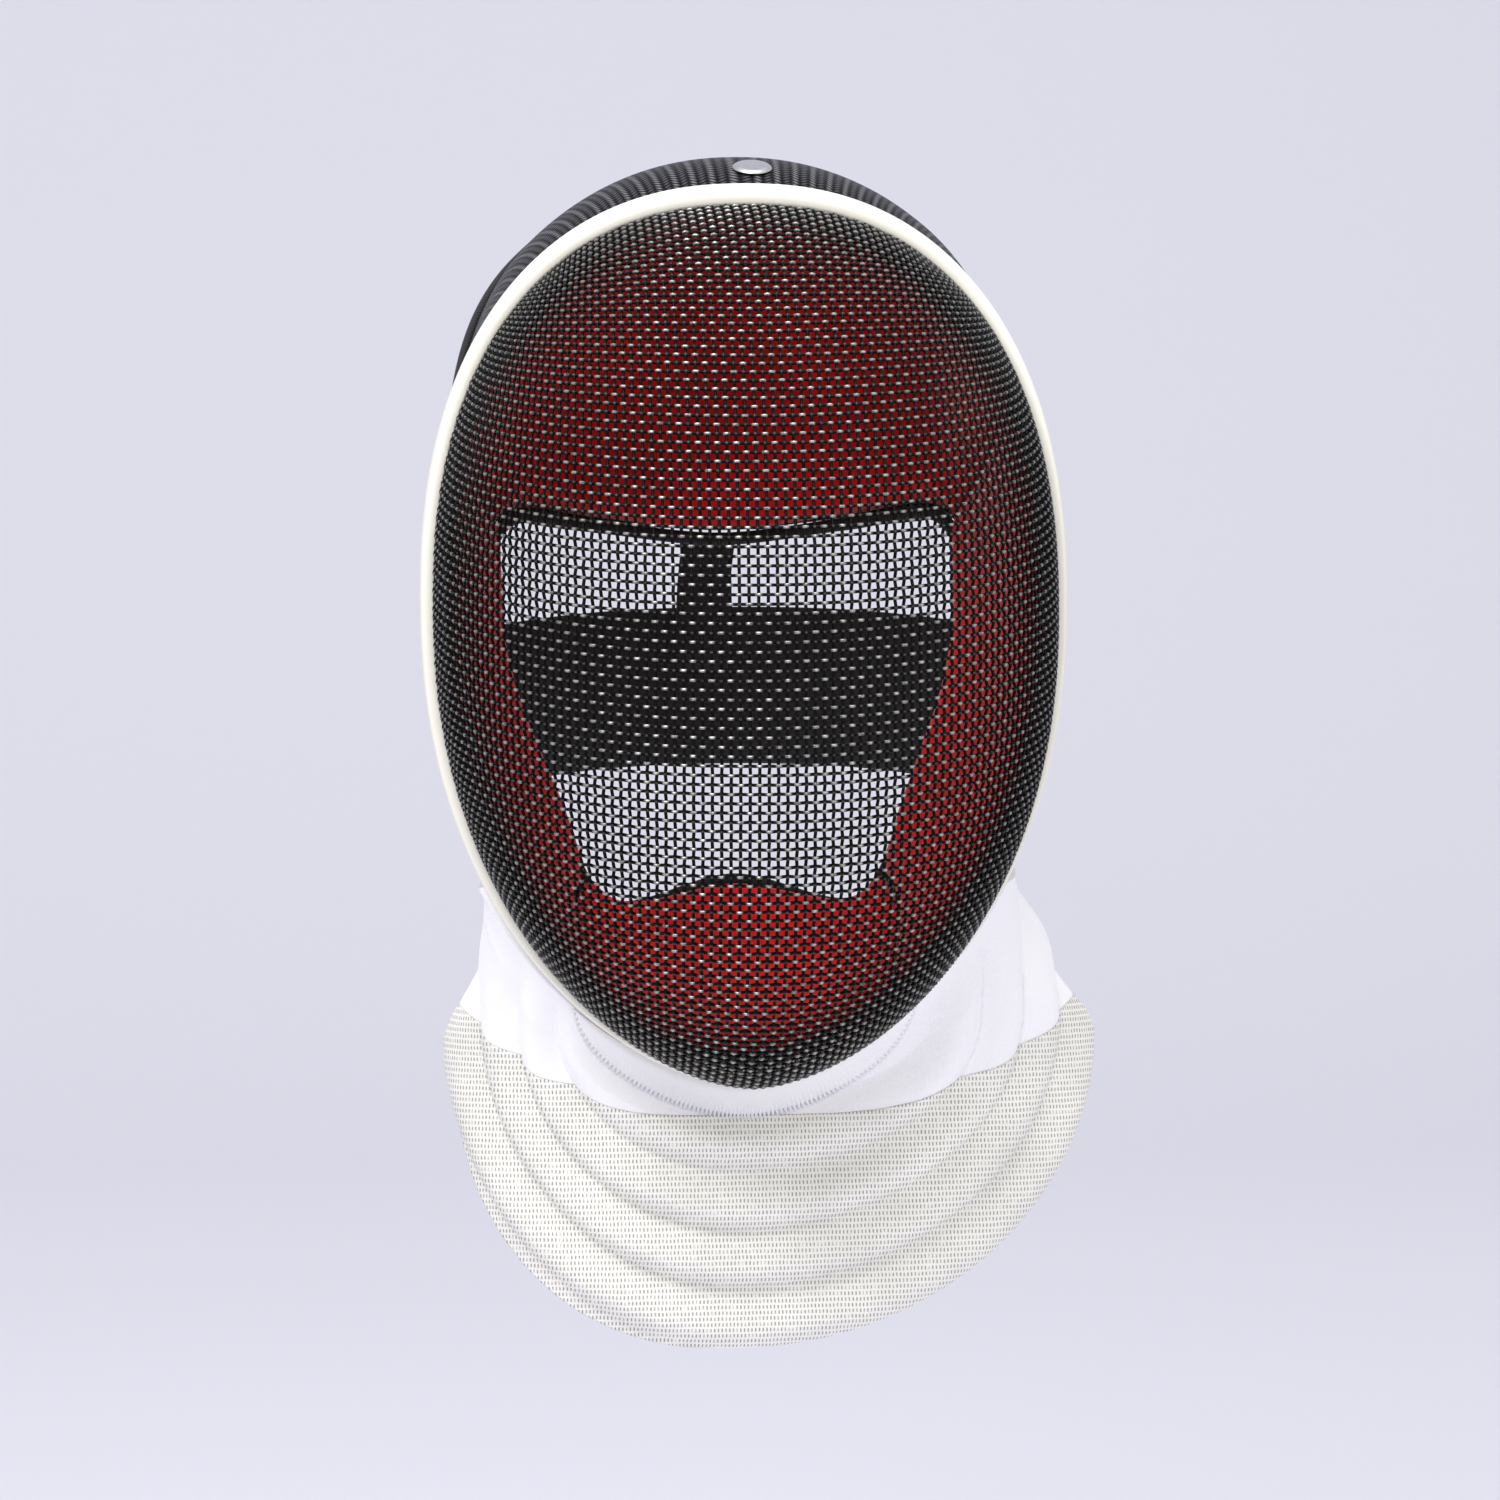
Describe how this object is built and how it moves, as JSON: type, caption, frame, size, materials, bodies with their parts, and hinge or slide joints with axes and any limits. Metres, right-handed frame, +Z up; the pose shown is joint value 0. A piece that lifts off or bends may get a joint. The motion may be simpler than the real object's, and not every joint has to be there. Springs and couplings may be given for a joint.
{
  "type": "fencing mask",
  "caption": "Fencing mask: black woven wire face in an ivory trim, carbon-look crown, red padding, wide back strap and a quilted bib of white and silvery conductive cloth.",
  "frame": {"origin": "seat of the head: where the top of the wearer's head meets the underside of the crown pad", "axes": "+Z up, the mask faces -Y, +X to the right of someone who looks at its front"},
  "size_m": [0.2347, 0.2523, 0.4136],
  "materials": {
    "wire": "black enamel over woven steel wire, worn bright on the crests",
    "ivory_trim": "satin ivory vinyl moulding",
    "carbon_cover": "glossy black vinyl with a carbon weave pattern",
    "black_binding": "black piping and edge binding",
    "badge_metal": "plain unmarked brushed plate",
    "red_padding": "soft red brushed lining over foam",
    "black_strap": "ribbed black elastic webbing",
    "white_cloth": "smooth white woven protective cloth",
    "conductive_cloth": "silvery ivory woven conductive cloth with fine metal rows"
  },
  "bodies": {
    "root": {"woven_front": "wire", "face_trim": "ivory_trim", "rear_shell": "carbon_cover", "rear_binding": "black_binding", "crown_piping": "black_binding", "crown_badge": "badge_metal", "crown_pad": "red_padding", "side_pad_right": "red_padding", "side_pad_left": "red_padding", "chin_pad": "red_padding", "back_strap": "black_strap", "centre_strap": "black_strap", "bib_upper": "white_cloth", "bib_conductive": "conductive_cloth"}
  },
  "joints": []
}
